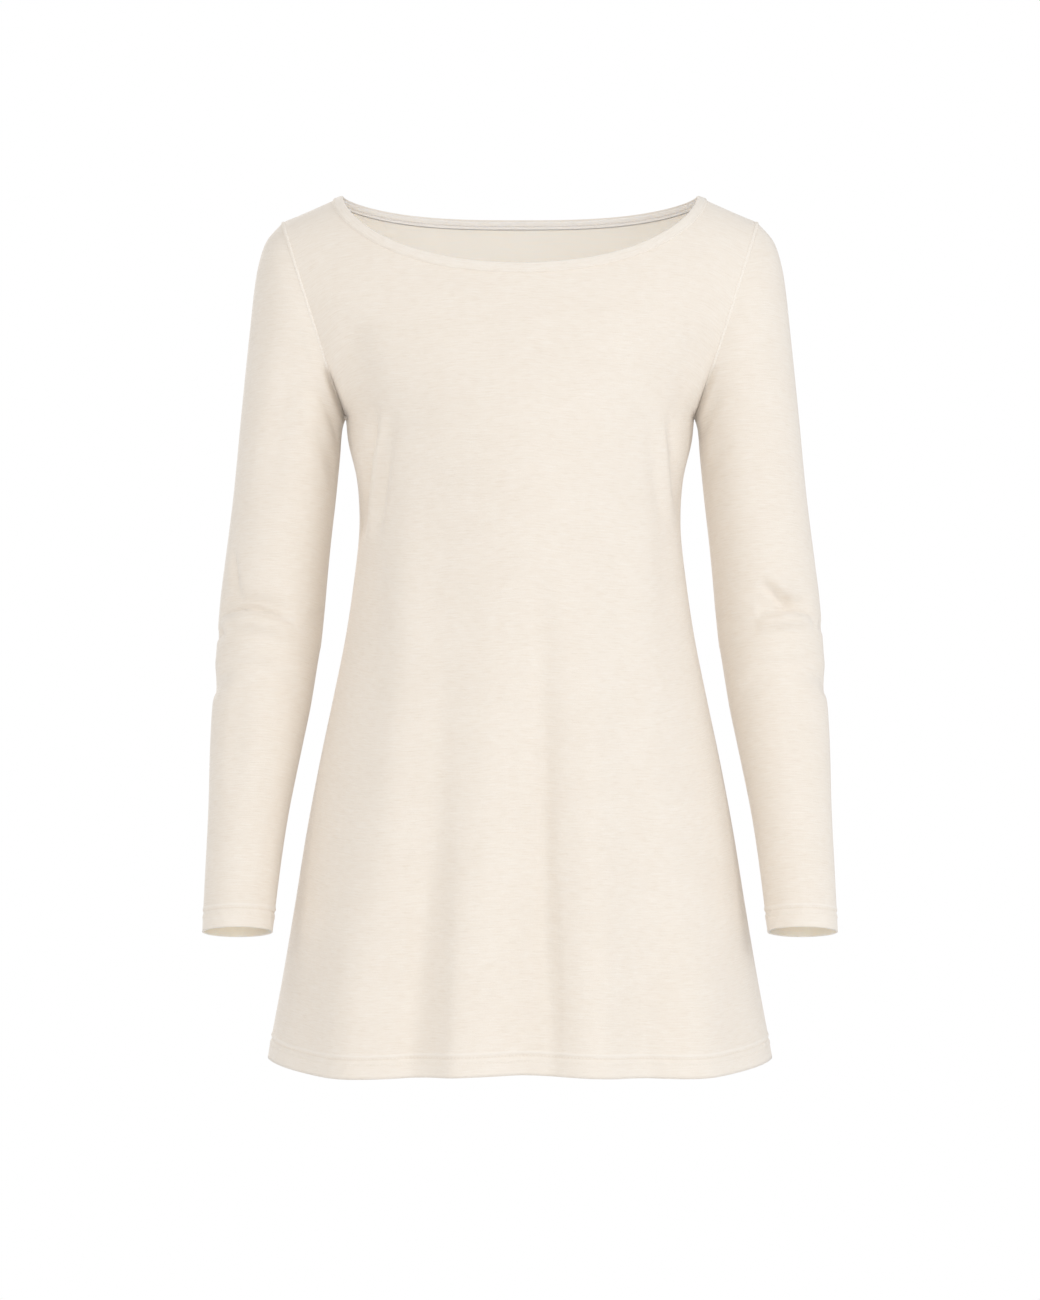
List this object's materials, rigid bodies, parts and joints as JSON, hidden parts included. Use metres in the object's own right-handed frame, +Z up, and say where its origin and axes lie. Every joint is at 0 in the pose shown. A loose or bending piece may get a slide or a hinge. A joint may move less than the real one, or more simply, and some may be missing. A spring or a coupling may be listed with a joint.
{
  "type": "long-sleeve top",
  "caption": "Long-sleeve A-line jersey top with a wide boat neck, bound neckline and turned hems, filled out as if worn.",
  "frame": {"origin": "midway between the two points where the shoulder seams meet the neck, 1 mm above them, where the wearer's shoulders hold the top up", "axes": "+Z up, the front faces -Y, +X is the wearer's left"},
  "size_m": [0.5394, 0.3183, 0.7473],
  "materials": {
    "front_jersey": "matt cream slub jersey",
    "back_jersey": "matt cream slub jersey",
    "sleeve_jersey": "matt cream slub jersey",
    "binding_jersey": "matt cream jersey strip, folded over the edge"
  },
  "bodies": {
    "root": {"front": "front_jersey", "back": "back_jersey", "sleeve_left": "sleeve_jersey", "sleeve_right": "sleeve_jersey", "neck_binding": "binding_jersey"}
  },
  "joints": []
}
